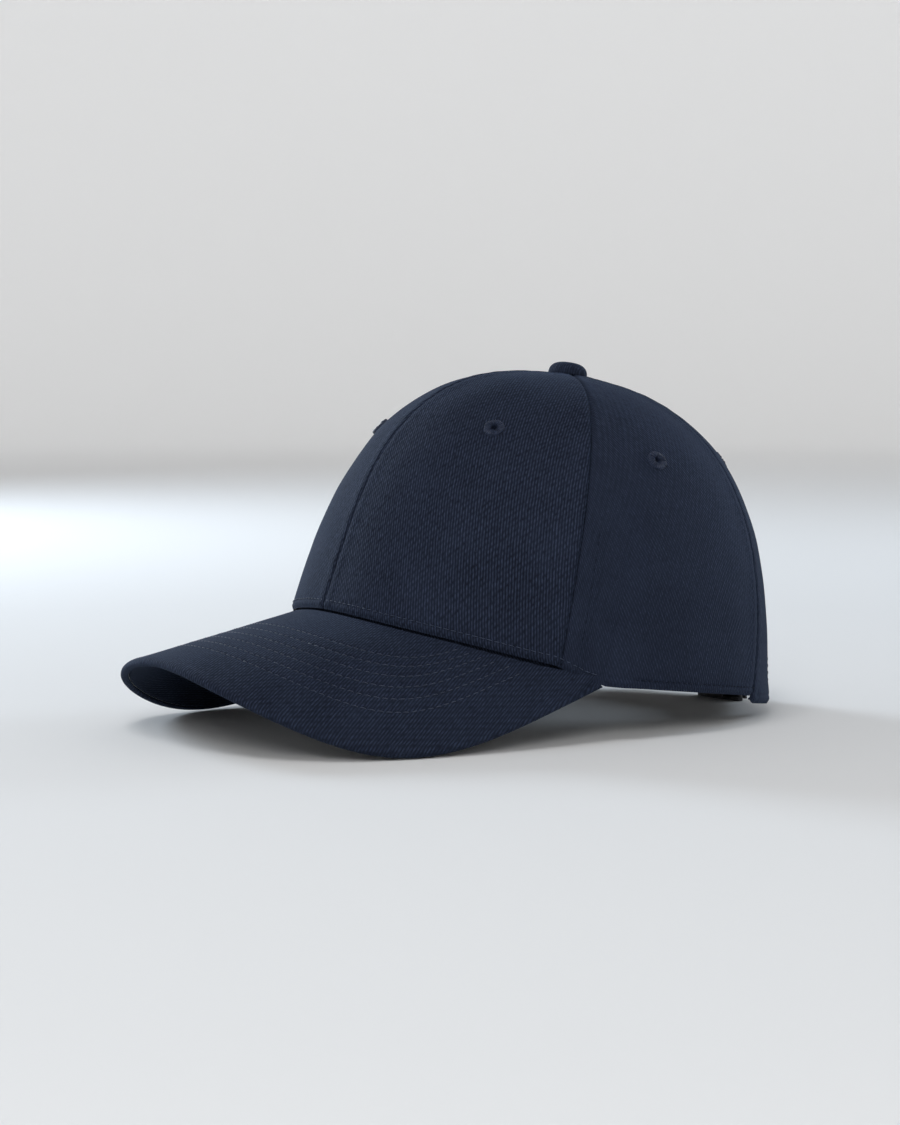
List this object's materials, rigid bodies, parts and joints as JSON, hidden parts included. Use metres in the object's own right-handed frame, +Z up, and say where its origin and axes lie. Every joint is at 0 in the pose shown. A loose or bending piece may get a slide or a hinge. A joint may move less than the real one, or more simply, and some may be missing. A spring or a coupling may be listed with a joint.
{
  "type": "baseball cap",
  "caption": "Soft structured cap with panelled round crown, stitched curved visor, eyelets, covered button and a rear opening closed by a strap with flip clasp.",
  "frame": {"origin": "On the surface that the cap stands on, below the middle of its overall box.", "axes": "+Z up, -Y forwards along the visor, +X to the wearer's left."},
  "size_m": [0.1718, 0.2623, 0.1373],
  "materials": {
    "crown_twill": "cotton twill",
    "visor_twill": "cotton twill with rows of stitching",
    "under_visor_twill": "cotton twill",
    "button_twill": "cotton twill stretched over a button",
    "strap_twill": "folded cotton twill",
    "sweatband_twill": "soft cotton twill",
    "seam_tape": "woven tape",
    "buckram": "stiff open weave",
    "eyelet_thread": "satin stitched thread",
    "visor_board": "matt",
    "button_metal": "plain",
    "clasp_metal": "antique brushed"
  },
  "bodies": {
    "cap": {"panel_front_left": "crown_twill", "panel_front_right": "crown_twill", "panel_side_left": "crown_twill", "panel_side_right": "crown_twill", "panel_rear_left": "crown_twill", "panel_rear_right": "crown_twill", "buckram_left": "buckram", "buckram_right": "buckram", "seam_tape_front": "seam_tape", "seam_tape_side_left": "seam_tape", "seam_tape_side_right": "seam_tape", "seam_tape_rear_left": "seam_tape", "seam_tape_rear_right": "seam_tape", "seam_tape_back": "seam_tape", "opening_binding": "seam_tape", "sweatband": "sweatband_twill", "visor_top_cover": "visor_twill", "visor_board": "visor_board", "visor_under_cover": "under_visor_twill", "button_cover": "button_twill", "button_shell": "button_metal", "button_rivet": "button_metal", "button_washer": "button_metal", "eyelet_front_left": "eyelet_thread", "eyelet_front_right": "eyelet_thread", "eyelet_side_left": "eyelet_thread", "eyelet_side_right": "eyelet_thread", "eyelet_rear_left": "eyelet_thread", "eyelet_rear_right": "eyelet_thread", "strap": "strap_twill", "clasp_loop": "strap_twill", "clasp_frame": "clasp_metal", "clasp_pin": "clasp_metal"},
    "clasp_lever": {"clasp_lever": "clasp_metal"}
  },
  "joints": [
    {"name": "clasp_flip", "type": "hinge", "parent": "cap", "child": "clasp_lever", "pos_m": [-0.0085, 0.1274, 0.01257], "axis": [0, -0.1369, 0.9906], "range_deg": [0, 100]}
  ]
}
